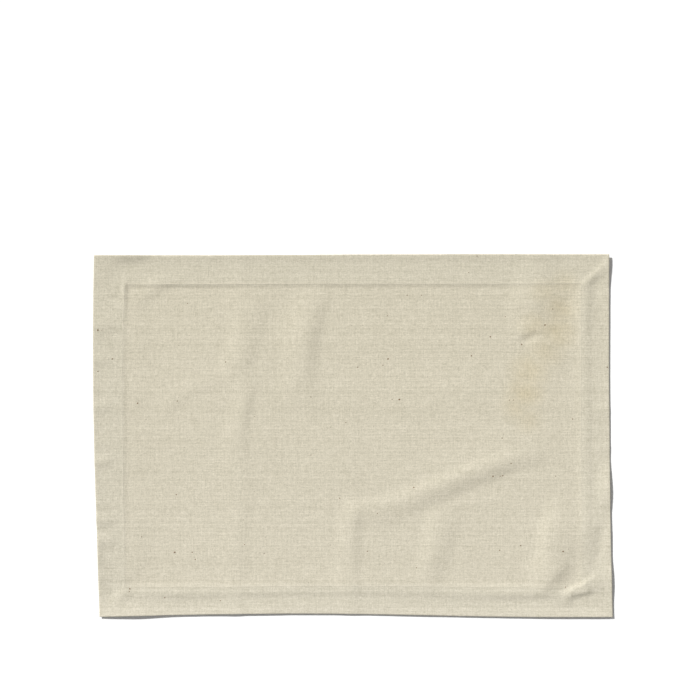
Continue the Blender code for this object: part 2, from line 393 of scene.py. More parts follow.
# crease rows: x, y, height, left reach and right reach, in millimetres
CREASES = (
    crease("quarter_crease",
        (-113, -180, 0.3, 16, 10), (-113.5, -150, 0.4, 18, 13), (-113.8, -125, 0.5, 20, 16),
        (-113.6, -102, 0.52, 21, 17), (-113.5, -80, 0.5, 24, 20), (-113, -48.5, 0.45, 28, 26),
        (-111.5, -22, 0.6, 25, 18), (-110.7, -2, 0.75, 22, 13), (-107, 14, 0.8, 18, 10),
        (-104.5, 25, 0.95, 16, 9), (-104, 36, 0.85, 17, 11), (-105.5, 47, 0.7, 19, 20),
        (-107.5, 57, 0.65, 24, 26), (-107.5, 68, 1.1, 26, 15), (-106, 82, 1.2, 24, 18),
        (-105, 93, 1.2, 21, 20), (-105, 107, 1.05, 21, 27), (-107, 120, 0.85, 20, 38),
        (-109, 131.5, 0.6, 19, 44), (-106, 150, 0.3, 14, 12), (-105, 180, 0.45, 14, 7)),
    crease("back_slant",
        (-60, 22, 0, 22, 26), (-58, 33, 0.35, 23, 27), (-53.8, 45.3, 0.75, 24, 27),
        (-51, 58, 1.1, 24, 22), (-48.3, 72.2, 1.45, 26, 18.5), (-46.4, 85, 1.7, 29, 18),
        (-44.6, 97.5, 1.8, 30, 17.5), (-42, 110, 1.65, 28, 18.5), (-39.7, 121.8, 1.35, 27, 20),
        (-38, 134, 0.7, 24, 20), (-37, 144, 0.15, 20, 18), (-36, 150, 0, 18, 18)),
    crease("main_slant",
        (-6, -76, 0, 14, 16), (4, -74.4, 0.75, 15, 17), (18, -72.4, 0.95, 15, 20),
        (32, -70.2, 1.05, 15, 22), (50, -63.5, 1.05, 14, 21), (70.7, -55.4, 1.1, 13, 18.5),
        (86, -49, 1.2, 13, 18), (103.5, -41.7, 1.25, 13, 18), (122, -35, 1.05, 13, 17),
        (142, -27.2, 0.88, 13, 16), (158, -22.5, 0.68, 13, 15), (174, -19.5, 0.38, 13, 14),
        (196, -15, 0, 12, 13)),
    crease("main_lean",
        (40, -67, 0, 30, 19), (54, -62, 0.25, 40, 19), (70.7, -55.4, 0.5, 44, 18.5),
        (86, -49, 0.55, 42, 18), (103.5, -41.7, 0.6, 38, 18), (122, -35, 0.75, 38, 17),
        (142, -27.2, 0.85, 38, 16), (158, -22.5, 0.75, 36, 15), (172, -20.5, 0.6, 34, 14),
        (188, -17, 0.2, 30, 13), (200, -14, 0, 28, 12)),
    crease("front_upright",
        (0.5, -174, 0.25, 16, 10), (-0.5, -150, 0.6, 20, 12), (-1.3, -128, 0.8, 22, 12.5),
        (-1.3, -108, 0.95, 20, 12.5), (-1.3, -98, 0.95, 18, 12.5), (-0.5, -86, 0.95, 17, 12.5),
        (1, -77, 0.8, 16, 12)),
    crease("front_slant",
        (66, -152, 0, 16, 20), (71, -142, 0.5, 19, 20), (76, -128, 1, 19, 20),
        (80.5, -111, 1.3, 17, 21), (82.5, -96, 1.25, 17, 24), (84, -83, 1, 16, 30),
        (85.5, -72, 0.45, 15, 30), (86.5, -63, 0, 15, 26)),
    crease("right_slant",
        (172, -154, 0, 26, 16), (182, -146, 0.8, 34, 18), (189.5, -135, 1.3, 30, 24),
        (193.5, -124, 1.6, 22, 30), (194.3, -112, 2, 19, 40), (194.5, -99, 2.2, 18, 48),
        (197, -86, 1.75, 17, 44), (200, -71, 0.7, 16, 36), (203, -58, 0, 14, 30)),
    crease("right_wedge",
        (185, -150, 0, 30, 16), (190.5, -143.5, 0.7, 30, 14), (197.8, -136, 1.25, 30, 14),
        (204, -129.5, 0.85, 28, 13), (209, -121, 0, 26, 11),
        peaked=0.8),
    crease("right_front_crumple",
        (206, -155, 0, 6, 11), (213.3, -152.1, 1, 5.8, 11), (225.3, -146.1, 1, 5.2, 12),
        (234.5, -139.5, 0.9, 5, 14), (242, -134.5, 0, 5, 14)),
    crease("right_front_drop",
        (205, -156, 0, 8, 4.2), (214, -154.3, 0.4, 9, 4.2), (226, -152.4, 0.85, 10, 4),
        (236, -151.2, 0.45, 10, 4.4), (246, -150.5, 0, 8, 4.4)),
    crease("right_front_tuck",
        (211.2, -150, 0, 5, 20), (211.2, -156, 0.8, 5, 24), (210.6, -162, 0.85, 5.2, 26),
        (209.8, -169, 0, 6, 24)),
    crease("right_back_shelf",
        (219, 104, 0, 11, 28), (219, 118, 0.4, 11, 28), (219, 137, 0.5, 11, 28),
        (219, 158, 0, 11, 28)),
    crease("right_back_slope",
        (196, 44, 0, 22, 16), (193, 62, 0.4, 26, 18), (188, 80, 0.55, 28, 22),
        (182, 98, 0.8, 30, 26), (179, 112, 1.3, 32, 30), (178.5, 126, 1.75, 34, 32),
        (179, 138, 1.6, 32, 31), (182, 154, 0.8, 28, 24), (185, 178, 0.5, 24, 18)),
    crease("left_back_arc",
        (-218, 120, 0, 14, 12), (-203, 134, 0.55, 14, 11), (-190, 144, 0.7, 13, 10),
        (-174, 151, 0.3, 12, 9), (-160, 153, 0, 12, 8)),
    crease("left_back_hem",
        (-221.5, 116, 0, 13, 4), (-221.4, 130, 0.3, 7, 3.4), (-221, 142, 0.38, 5.5, 3.4),
        (-220.8, 148, 0.3, 5, 3.4), (-220.4, 153, 0, 9, 4)),
    crease("left_front_mitre",
        (-239, -170, 0, 6, 10), (-231, -162.5, 0.5, 6.5, 11), (-223, -154, 0.55, 6.5, 11),
        (-215, -145, 0, 6, 10)),
    crease("right_back_mitre",
        (220, 142, 0, 5, 7), (226, 147, 0.55, 5, 7), (233.2, 153.7, 0.75, 5.2, 7.5),
        (241, 160.5, 0.55, 5, 8), (247, 166, 0, 5, 8)),
    crease("left_faint",
        (-192, 12, 0, 14, 9), (-180, 26, 0.25, 14, 9), (-153, 45.5, 0.3, 14, 9),
        (-124, 55.5, 0.2, 14, 9)),
    crease("middle_faint",
        (0, -60, 0, 9, 7), (-1, -20, 0.1, 9, 7), (-1, 40, 0.08, 9, 7), (-1, 70, 0, 9, 7)),
)

# height, x, y, reach along and across in millimetres, turn in degrees, name
RAISED = tabulate(Raised, 5,
    (2.4, 252, 180, 46, 40, 0, "right_back_corner"),
    (0.5, 226, 118, 30, 12, 88, "right_back_rim"),
    (-0.5, 237.5, 140, 20, 7.5, 86, "right_back_furrow"),
    (1.9, 252, -51, 30, 18, 90, "right_edge"),
    (0.6, 257, -80, 36, 44, 0, "right_edge_base"),
    (0.4, 246, -13, 18, 8, 0, "right_edge_ripple"),
    (0.4, 243, 24, 14, 8, 0, "right_edge_pucker"),
    (0.4, 233, -85, 62, 12.5, 90, "right_hem_swell"),
    (-0.7, 241.5, -101, 22, 8.5, 84, "right_front_furrow"),
    (-0.5, 238.5, -117.5, 8.5, 3.4, 45, "right_front_nick"),
    (-0.5, 249, -76, 26, 6.5, 90, "right_edge_fall"),
    (0.4, 214, -150.5, 4.5, 3, 25, "crumple_lump_low"),
    (0.5, 226.5, -144.5, 4.5, 3, 30, "crumple_lump_high"),
    (1.3, 255, -140, 30, 24, 0, "right_front_edge"),
    (1.5, -214, -182, 46, 34, 0, "left_front_corner"),
    (0.5, -247.5, -120, 34, 8.5, 86, "left_front_edge"),
    (2, -215, 180, 25, 16, 8, "left_back_edge"),
    (1.3, -242, 180, 30, 34, 0, "left_back_corner"),
    (-0.6, -28, -174, 98, 8.5, 0, "front_edge_fall"),
    (-0.3, 145, -177, 90, 6, 0, "front_edge_roll"),
    (0.6, 169, 101, 22, 13, 18, "back_nick_rim"),
    (-1.2, 172, 94, 13, 5.8, 18, "back_nick"),
    (0.5, -243, -138, 14, 9, 0, "left_pucker_1"),
    (0.9, -243, -103, 18, 9, 0, "left_pucker_2"),
    (0.9, -243, -83, 18, 9, 0, "left_pucker_3"),
    (0.9, -244, -26, 15, 8, 0, "left_pucker_4"),
    (0.4, -244, -9, 12, 6, 0, "left_pucker_5"),
    (0.6, -244, 27, 14, 8, 0, "left_pucker_6"),
    (0.8, -243, 107, 20, 14, 0, "left_pucker_7"),
    (0.5, -244, 73, 16, 9, 0, "left_pucker_8"))


class Section(NamedTuple):
    """The hem's section at each of some points, from the sides nearest to them."""

    line_gap: Array
    edge_gap: Array
    values: dict[str, Array]


@dataclass(frozen=True)
class LyingShape:
    """The whole relief: outline, hem section, creases, raised areas and unevenness.

    The sides' sections are blended over mitre_softness at the corners. The outer fold's
    puff and lift run out over puff_run and lift_run, and the bead over bead_reach. The
    field rises to a hem that isn't firm over slow_run.
    """

    sides: tuple[Side, ...] = SIDES
    creases: tuple[Crease, ...] = CREASES
    raised: tuple[Raised, ...] = RAISED
    waves: tuple[Unevenness, ...] = (
        Unevenness(height=0.00006, wavelength=0.045, waves=14, seed=11),
        Unevenness(height=0.00003, wavelength=0.016, waves=18, seed=12),
    )
    mitre_softness: float = 0.0025
    puff_run: float = 0.0095
    lift_run: float = 0.0290
    slow_run: float = 0.0350
    bead_reach: float = 0.0013
    clearance: float = 0.00002

    def side(self, name: SideName) -> Side:
        """Find a side by its name."""
        return next(side for side in self.sides if side.name is name)

    def outline(self, column: str, x: Array, y: Array) -> dict[SideName, Array]:
        """Read a column of all four sides at the same points.

        Args:
            column: the name of a column of SideRow.
            x: places along X, which the front and back sides are read at.
            y: places along Y, which the left and right sides are read at.

        Returns:
            The column's values, by side.
        """
        return {side.name: side.read(column, x if side.name.value[0] else y)
                for side in self.sides}

    def section(self, x: Array, y: Array) -> Section:
        """Find where points lie across the hem.

        Args:
            x: places along X.
            y: places along Y.

        Returns:
            The distance inside the hem's inner edge, the distance inside the outer one,
            and the hem's sizes there, blended across the mitres.
        """
        edges = self.outline("edge", x, y)
        hems = self.outline("hem", x, y)
        out = {side.name: (y if side.name.value[0] else x) * side.name.value[1]
               for side in self.sides}
        edge_gaps = np.stack([edges[side.name] - out[side.name] for side in self.sides])
        line_gaps = edge_gaps - np.stack([hems[side.name] for side in self.sides])
        line_gap = line_gaps.min(axis=0)
        weights = np.exp((line_gap - line_gaps) / self.mitre_softness)
        weights /= weights.sum(axis=0)
        values = {}
        for name in ("turn", "firm", "drop", "lift"):
            column = self.outline(name, x, y)
            values[name] = (weights * np.stack([column[s.name] for s in self.sides])).sum(axis=0)
        for name in ("run_in", "run_out", "drop_run", "stitch_in", "bead", "puff"):
            sizes = np.array([getattr(side, name) for side in self.sides])
            values[name] = np.tensordot(sizes, weights, axes=1)
        return Section(line_gap, edge_gaps.min(axis=0), values)

    def rise(self, x: Array, y: Array) -> Array:
        """Height that creases, raised areas and unevenness lift the cloth by.

        Args:
            x: places along X.
            y: places along Y.

        Returns:
            The height at each place, which is nowhere low enough to reach the table.
        """
        section = self.section(x, y)
        inward = np.clip(section.edge_gap / self.lift_run, 0.0, 1.0)
        height = section.values["lift"] * (1.0 - inward) ** 2
        height = height + sum(part.height(x, y) for part in self.creases)
        height = height + sum(part.level(x, y) for part in self.raised)
        height = height + sum(part.level(x, y) for part in self.waves)
        return np.maximum(height, self.clearance + HALF_PLY - FIELD_LEVEL)

    def top(self, x: Array, y: Array) -> Array:
        """Middle surface of the mat's top layer.

        Args:
            x: places along X.
            y: places along Y.

        Returns:
            The height at each place.
        """
        section = self.section(x, y)
        gap, size = section.line_gap, section.values
        layer = UPPER_LEVEL - TURNED_LEVEL
        bulge = layer * np.maximum(size["drop"] - 1.0, 0.0)
        climb = UPPER_LEVEL - FIELD_LEVEL + bulge
        near = 1.0 - ease((gap + size["run_out"]) / (size["run_in"] + size["run_out"]))
        far = 1.0 - ease((gap + size["run_out"]) / self.slow_run)
        level = FIELD_LEVEL + climb * blend(far, near, size["firm"])
        past = (-gap - size["turn"]) / size["drop_run"]
        level = level - layer * size["drop"] * ease(past)
        puffing = 1.0 - ease((section.edge_gap - HALF_PLY) / self.puff_run)
        level = level + size["puff"] * puffing * (gap < 0.0)
        level = level + size["bead"] * hill((gap + size["stitch_in"]) / self.bead_reach)
        return level + self.rise(x, y)

    def surface(self, x: Array, y: Array) -> Array:
        """Upper face of the mat at each point."""
        return self.top(x, y) + HALF_PLY


# ---------------------------------------------------------------- shader maths


def operator(operation: str, reflected: bool = False) -> Callable[..., "Signal"]:
    """Make a method that adds one Math node.

    Args:
        operation: the node's operation.
        reflected: whether the signal comes after the other value.

    Returns:
        The method, which takes the other values and returns the result's signal.
    """
    def method(self: "Signal", *others: "Signal | float") -> "Signal":
        """Add the node."""
        values = (*others, self) if reflected else (self, *others)
        return self.graph.maths(operation, *values)
    return method


class Signal:
    """A shader socket that takes part in arithmetic."""

    def __init__(self, graph: "Graph", socket: bpy.types.NodeSocket) -> None:
        """Wrap a socket of a graph."""
        self.graph = graph
        self.socket = socket

    __add__, __radd__ = operator("ADD"), operator("ADD", reflected=True)
    __sub__, __rsub__ = operator("SUBTRACT"), operator("SUBTRACT", reflected=True)
    __mul__, __rmul__ = operator("MULTIPLY"), operator("MULTIPLY", reflected=True)
    __truediv__ = operator("DIVIDE")
    __gt__ = operator("GREATER_THAN")
    __mod__ = operator("FLOORED_MODULO")
    __pow__ = operator("POWER")
    floor = operator("FLOOR")
    sine = operator("SINE")
    size = operator("ABSOLUTE")
    above = operator("MAXIMUM")
    below = operator("MINIMUM")

    def ramp(self, low: float, high: float) -> "Signal":
        """Rise smoothly from 0 to 1.

        Args:
            low: the value where the rise starts.
            high: the value where it ends.

        Returns:
            The risen signal.
        """
        return self.graph.read(
            "ShaderNodeMapRange", "Result", {"interpolation_type": "SMOOTHSTEP"},
            {"Value": self, "From Min": low, "From Max": high})


class Mottle(NamedTuple):
    """One layer of noise: lumps to each metre, finer layers added, and its strength."""

    scale: float
    detail: float
    strength: float


class Graph:
    """A material's node tree, with one method for each kind of thing it adds."""

    def __init__(self, name: str) -> None:
        """Start an empty material.

        Args:
            name: the material's name.
        """
        self.material = bpy.data.materials.new(name)
        self.material.use_nodes = True
        self.tree = self.material.node_tree
        self.tree.nodes.clear()

    def node(self, kind: str, settings: dict, inputs: dict) -> bpy.types.Node:
        """Add a node.

        Args:
            kind: the node's type.
            settings: its own properties, which are set first.
            inputs: values or links of its sockets, by name or number.

        Returns:
            The node.
        """
        node = self.tree.nodes.new(kind)
        for name, value in settings.items():
            setattr(node, name, value)
        for key, value in inputs.items():
            if isinstance(value, Signal):
                self.tree.links.new(value.socket, node.inputs[key])
            else:
                node.inputs[key].default_value = value
        return node

    def read(self, kind: str, output: str | int, settings: dict, inputs: dict) -> Signal:
        """Add a node and take one of its outputs, by name or number."""
        return Signal(self, self.node(kind, settings, inputs).outputs[output])

    def maths(self, operation: str, *values: Signal | float) -> Signal:
        """Add a Math node on up to three values."""
        return self.read(
            "ShaderNodeMath", 0, {"operation": operation}, dict(enumerate(values)))

    def vector(self, x: Signal | float, y: Signal | float, z: Signal | float = 0.0) -> Signal:
        """Join three numbers to a vector."""
        return self.read("ShaderNodeCombineXYZ", 0, {}, {"X": x, "Y": y, "Z": z})

    def parts(self, vector: Signal) -> tuple[Signal, Signal, Signal]:
        """Split a vector into its three numbers."""
        node = self.node("ShaderNodeSeparateXYZ", {}, {0: vector})
        return tuple(Signal(self, output) for output in node.outputs)

    def place(self) -> Signal:
        """Read the place on the piece, in metres."""
        return self.read("ShaderNodeTexCoord", "Object", {}, {})

    def chart(self, name: str) -> Signal:
        """Read one of the mesh's UV maps."""
        return self.read("ShaderNodeUVMap", "UV", {"uv_map": name}, {})

    def attribute(self, name: str) -> Signal:
        """Read one of the mesh's own attributes."""
        return self.read("ShaderNodeAttribute", "Fac", {"attribute_name": name}, {})

    def noise(self, vector: Signal, scale: float, detail: float = 1.0) -> Signal:
        """Read a noise of two dimensions.

        Args:
            vector: the place to read it at.
            scale: lumps to each unit of the vector.
            detail: finer layers added to it.

        Returns:
            The noise, from 0 to 1 around 0.5.
        """
        return self.read(
            "ShaderNodeTexNoise", "Fac", {"noise_dimensions": "2D"},
            {"Vector": vector, "Scale": scale, "Detail": detail, "Roughness": 0.5})

    def mottle(self, vector: Signal, layer: Mottle) -> Signal:
        """Read a layer of noise, around 0 and at its strength."""
        return (self.noise(vector, layer.scale, layer.detail) - 0.5) * layer.strength

    def chance(self, number: Signal, seed: float) -> Signal:
        """Give each whole number a random value from 0 to 1."""
        return self.read("ShaderNodeTexWhiteNoise", "Value", {"noise_dimensions": "1D"},
                         {"W": number * NUMBER_STEP + seed})

    def mix(self, share: Signal | float, low: Signal | tuple, high: Signal | tuple) -> Signal:
        """Mix two colours.

        Args:
            share: how much of the second colour.
            low: the first colour.
            high: the second colour.

        Returns:
            The mixed colour.
        """
        return self.read(
            "ShaderNodeMix", 2, {"data_type": "RGBA"}, {0: share, 6: low, 7: high})

    def times(self, colour: Signal, other: Signal) -> Signal:
        """Multiply two colours, by way of Vector Math."""
        return self.read(
            "ShaderNodeVectorMath", 0, {"operation": "MULTIPLY"}, {0: colour, 1: other})

    def bump(self, height: Signal, distance: float, strength: float) -> Signal:
        """Turn a height into a normal."""
        return self.read("ShaderNodeBump", "Normal", {},
                         {"Height": height, "Distance": distance, "Strength": strength})

    def finish(self, **sockets: Signal | float | tuple) -> bpy.types.Material:
        """Close the material with its surface shader.

        Args:
            sockets: the shader's sockets by name, with underscores for spaces.

        Returns:
            The material.
        """
        named = {name.replace("_", " "): value for name, value in sockets.items()}
        shader = self.read("ShaderNodeBsdfPrincipled", "BSDF", {}, named)
        self.node("ShaderNodeOutputMaterial", {}, {"Surface": shader})
        return self.material


# ---------------------------------------------------------------- finishes


class YarnSet(NamedTuple):
    """How the yarns of one direction vary, told from the other direction by a seed.

    Contrast is how much whole yarns differ. Relief and paleness are how much a thick
    stretch stands out and how much lighter it is, and the streaks are fibres along it.
    """

    seed: float
    contrast: float
    relief: float
    paleness: float
    streaks: Mottle


class Specks(NamedTuple):
    """A scatter of small specks, at most one to each cell of the cloth.

    Scale is cells to each metre, size a speck's radius in cells, rarity the share of
    the cells that have none, and strength how dark the specks are.
    """

    scale: float
    size: float
    rarity: float
    strength: float


@dataclass(frozen=True)
class UnbleachedCotton:
    """Plain weave of slubby unbleached yarn, with a warm stain and fine husk specks."""

    colour: tuple = (0.616, 0.567, 0.447, 1.0)
    hem_colour: tuple = (0.601, 0.557, 0.443, 1.0)
    # The next two colours are painted light: the cloth is painted darker towards the back and
    # lighter towards the front
    back_painted_shade: tuple = (0.985, 0.986, 0.972, 1.0)
    front_painted_light: tuple = (1.018, 1.022, 1.030, 1.0)
    painted_light_rate: float = 2.8              # share of the painted light falloff to each metre along Y
    side_painted_shade: float = 0.018            # painted shade: loss of paleness to each metre along X
    stain_colour: tuple = (0.592, 0.524, 0.374, 1.0)
    stain_patches: Mottle = Mottle(90.0, 3.0, 0.9)
    stain_floor: float = 0.55
    bleach: float = 1.15                # how much sooner pale yarn loses its yellow
    yarn_pitch: float = 0.00072
    wander: Mottle = Mottle(60.0, 1.0, 0.0011)
    slubs: Mottle = Mottle(75.0, 2.0, 1.25)
    knots: Mottle = Mottle(420.0, 1.0, 1.5)
    warp: YarnSet = YarnSet(3.0, 0.22, 0.30, 0.16, Mottle(1000.0, 2.0, 0.14))
    weft: YarnSet = YarnSet(41.0, 0.44, 0.30, 0.19, Mottle(1000.0, 2.0, 0.17))
    streak_shortening: float = 0.15
    roundness: float = 0.6
    under_dip: float = 0.45
    crossing_rise: float = 0.1
    blotches: Mottle = Mottle(24.0, 3.0, 0.02)
    fibres: Mottle = Mottle(1500.0, 1.0, 0.36)
    relief: float = 0.00014
    relief_strength: float = 0.8
    roughness: float = 0.90
    crown_gloss: float = 0.10
    sheen: float = 0.12
    sheen_roughness: float = 0.5
    specular: float = 0.25
    husk_colour: tuple = (0.17, 0.11, 0.06, 1.0)
    husk_core: float = 0.4              # share of a speck that is fully dark
    coarse_husks: Specks = Specks(95.0, 0.06, 0.965, 0.45)
    fine_husks: Specks = Specks(160.0, 0.06, 0.90, 0.35)

    def yarns(self, graph: Graph, across: Signal, along: Signal, kind: YarnSet) -> Signal:
        """Thickness and paleness of one set of yarns.

        Args:
            graph: the material's graph.
            across: place across the yarns, in yarns.
            along: place along them, in metres.
            kind: how the set varies.

        Returns:
            A signal around 0, high on thick pale stretches.
        """
        number = across.floor()
        total = (graph.chance(number, kind.seed) - 0.5) * kind.contrast
        for layer, step in ((self.slubs, SLUB_STEP), (self.knots, KNOT_STEP)):
            spot = graph.vector(along * layer.scale, number * step + kind.seed)
            total = total + (graph.noise(spot, 1.0, layer.detail) - 0.5) * layer.strength
        return total

    def husks(self, graph: Graph, place: Signal, specks: Specks) -> Signal:
        """Small dark specks of seed husk.

        Args:
            graph: the material's graph.
            place: the place on the cut cloth.
            specks: the scatter.

        Returns:
            A mask, at the scatter's strength on a speck.
        """
        cells = graph.node("ShaderNodeTexVoronoi", {"voronoi_dimensions": "2D"},
                           {"Vector": place, "Scale": specks.scale})
        chance, _, _ = graph.parts(Signal(graph, cells.outputs["Color"]))
        distance = Signal(graph, cells.outputs["Distance"])
        near = 1.0 - distance.ramp(self.husk_core * specks.size, specks.size)
        return near * (chance > specks.rarity) * specks.strength

    def make(self) -> bpy.types.Material:
        """Build the material.

        Returns:
            The material, which reads the UV map "grain" in metres of cut cloth.
        """
        graph = Graph("unbleached_cotton")
        place = graph.chart("grain")
        x, y, _ = graph.parts(place)
        column = (x + graph.mottle(place, self.wander)) / self.yarn_pitch
        row = (y + graph.mottle(graph.vector(y, x), self.wander)) / self.yarn_pitch

        warp = self.yarns(graph, column, y, self.warp)
        weft = self.yarns(graph, row, x, self.weft)
        column_round = (column * math.pi).sine().size()
        row_round = (row * math.pi).sine().size()
        over = (column.floor() + row.floor()) % 2.0
        under = 1.0 - self.under_dip
        warp_height = column_round ** self.roundness * (under + self.under_dip * over)
        weft_height = row_round ** self.roundness * (1.0 - self.under_dip * over)
        yarn_height = (warp_height + warp * self.warp.relief).above(
            weft_height + weft * self.weft.relief)
        height = yarn_height + column_round * row_round * self.crossing_rise

        short = self.streak_shortening
        paleness = 1.0 + warp * self.warp.paleness + weft * self.weft.paleness
        paleness = paleness + graph.mottle(place, self.blotches)
        paleness = paleness + graph.mottle(place, self.fibres)
        paleness = paleness + graph.mottle(graph.vector(x * short, y), self.weft.streaks)
        paleness = paleness + graph.mottle(graph.vector(x, y * short), self.warp.streaks)
        # Painted shade: the cloth is painted darker towards +X
        paleness = paleness - x * self.side_painted_shade

        colour = graph.mix(graph.attribute("hem"), self.colour, self.hem_colour)
        patches = graph.noise(place, self.stain_patches.scale, self.stain_patches.detail)
        patches = self.stain_floor + self.stain_patches.strength * patches
        stain = (graph.attribute("stain") * patches).below(1.0)
        colour = graph.mix(stain, colour, self.stain_colour)
        # Painted light falloff: the colour is darker towards the back and lighter towards the
        # front
        forward = (0.5 - y * self.painted_light_rate).above(0.0).below(1.0)
        colour = graph.times(colour, graph.mix(forward, self.back_painted_shade, self.front_painted_light))
        colour = graph.times(colour, graph.vector(paleness, paleness, paleness ** self.bleach))
        husk = self.husks(graph, place, self.coarse_husks).above(
            self.husks(graph, place, self.fine_husks))
        colour = graph.mix(husk, colour, self.husk_colour)
        return graph.finish(
            Base_Color=colour,
            Roughness=self.roughness - self.crown_gloss * yarn_height.below(1.0),
            Sheen_Weight=self.sheen, Sheen_Roughness=self.sheen_roughness,
            Specular_IOR_Level=self.specular,
            Normal=graph.bump(height, self.relief, self.relief_strength))


@dataclass(frozen=True)
class SewingThread:
    """Matt cotton thread of two twisted strands."""

    # The colour is lighter than the cloth's: partly the thread's own colour, partly a painted
    # highlight for the lit crest beside the stitching
    colour: tuple = (0.71, 0.67, 0.56, 1.0)
    # The second colour is painted shade in the grooves between the strands
    shade: tuple = (0.61, 0.56, 0.45, 1.0)
    twists: float = 2400.0
    relief: float = 0.00005
    relief_strength: float = 0.6
    roughness: float = 0.8
    crown_gloss: float = 0.15
    sheen: float = 0.15

    def make(self) -> bpy.types.Material:
        """Build the material.

        Returns:
            The material, which reads the UV map "twist".
        """
        graph = Graph("sewing_thread")
        along, around, _ = graph.parts(graph.chart("twist"))
        # Painted shade: the colour darkens in the grooves between the two strands
        strand = ((along * self.twists + around) * math.tau).sine() * 0.5 + 0.5
        return graph.finish(
            Base_Color=graph.mix(strand, self.shade, self.colour),
            Roughness=self.roughness - self.crown_gloss * strand, Sheen_Weight=self.sheen,
            Normal=graph.bump(strand, self.relief, self.relief_strength))


@dataclass(frozen=True)
class Husk:
    """Dry brown fragments of cotton seed husk."""

    colour: tuple = (0.09, 0.05, 0.02, 1.0)
    pale: tuple = (0.24, 0.14, 0.06, 1.0)
    mottle_scale: float = 900.0
    roughness: tuple[float, float] = (0.75, 0.90)

    def make(self) -> bpy.types.Material:
        """Build the material.

        Returns:
            The material, which reads the place on the piece.
        """
        graph = Graph("seed_husk")
        mottle = graph.noise(graph.place(), self.mottle_scale, 2.0)
        return graph.finish(Base_Color=graph.mix(mottle, self.colour, self.pale),
                            Roughness=blend(*self.roughness, mottle))


@dataclass(frozen=True)
class PaleTable:
    """Plain white studio surface."""

    colour: tuple = (0.95, 0.95, 0.95, 1.0)
    grain_scale: float = 40.0
    roughness: tuple[float, float] = (0.8, 0.9)

    def make(self) -> bpy.types.Material:
        """Build the material.

        Returns:
            The material, which reads the place on the piece.
        """
        graph = Graph("pale_table")
        grain = graph.noise(graph.place(), self.grain_scale, 2.0)
        return graph.finish(Base_Color=self.colour, Roughness=blend(*self.roughness, grain))


# ---------------------------------------------------------------- mesh helpers


def grow(body: bmesh.types.BMesh, rim: list, step: tuple[float, float, float]) -> list:
    """Extrude a rim into one more loop of faces.

    Args:
        body: the bmesh.
        rim: the edges to extrude.
        step: how far the new loop is moved.

    Returns:
        The new loop's edges.
    """
    grown = bmesh.ops.extrude_edge_only(body, edges=rim)["geom"]
    verts = [item for item in grown if isinstance(item, bmesh.types.BMVert)]
    bmesh.ops.translate(body, verts=verts, vec=step)
    return [item for item in grown if isinstance(item, bmesh.types.BMEdge) and item.is_boundary]


def mesh_of(body: bmesh.types.BMesh, name: str) -> bpy.types.Mesh:
    """Turn a bmesh into a mesh, and free it.

    Args:
        body: the bmesh.
        name: the mesh's name.

    Returns:
        The mesh.
    """
    mesh = bpy.data.meshes.new(name)
    body.to_mesh(mesh)
    body.free()
    return mesh


def add_piece(mesh: bpy.types.Mesh) -> bpy.types.Object:
    """Put a mesh in the scene, as an object of its own name.

    Args:
        mesh: the mesh, with its place in its vertices.

    Returns:
        The object.
    """
    piece = bpy.data.objects.new(mesh.name, mesh)
    bpy.context.scene.collection.objects.link(piece)
    return piece


def get_values(items: bpy.types.bpy_prop_collection, name: str, kind: type,
               width: int = 1) -> Array:
    """Read one property of a whole collection.

    Args:
        items: the collection.
        name: the property's name.
        kind: the type of its values.
        width: how many values each item has.

    Returns:
        All the values, in one row.
    """
    values = np.zeros(width * len(items), dtype=kind)
    items.foreach_get(name, values)
    return values


def set_floats(items: bpy.types.bpy_prop_collection, name: str, values: Array) -> None:
    """Write one property of a whole collection."""
    items.foreach_set(name, values.astype(np.float32).ravel())


def corner_vertices(mesh: bpy.types.Mesh) -> Array:
    """Number of the vertex at each face corner."""
    return get_values(mesh.loops, "vertex_index", int)


# ---------------------------------------------------------------- the cloth


class Band(Enum):
    """What a grid station is measured from, going in from either side."""

    EDGE = "from the outer edge"
    HEM = "share of the middle of the hem"
    OUTSIDE = "outward from the hem's inner edge"
    INSIDE = "inward from the hem's inner edge"
    FIELD = "share of the field"


class Layer(Enum):
    """The parts of the cloth's section, from the top face round and in."""

    TOP = 0
    ROUND = 1
    UNDER = 2
    FOLD = 3
    TURNED = 4


class Ring(NamedTuple):
    """One loop of the cloth beyond the grid's rim, and the share of its layer passed."""

    layer: Layer
    share: float


class Laid(NamedTuple):
    """The laid pattern: each vertex's place and loop, and two rows for X and for Y.

    The first pair of rows has its grid numbers, and the second where it would lie if
    the hem were opened flat.
    """

    place: Array
    loop: Array
    numbers: Array
    opened: Array


class Island(NamedTuple):
    """One island of the baking map: its lowest corner, its scale, and half its size."""

    corner: tuple[float, float]
    scale: float
    half: tuple[float, float]


class Stain(NamedTuple):
    """One round patch of a stain, with its strength."""

    x: float
    y: float
    reach: float
    strength: float


# x, y and reach in millimetres, and strength
STAINS = tabulate(Stain, 3,
    (206, 145, 13, 0.45), (202, 122, 15, 0.75), (199, 100, 16, 0.85), (188, 82, 16, 0.6),
    (172, 62, 17, 0.75), (168, 42, 16, 0.9), (160, 28, 14, 0.55), (177, 106, 13, 0.6),
    (187, 139, 12, 0.45), (171, 15, 12, 0.45))


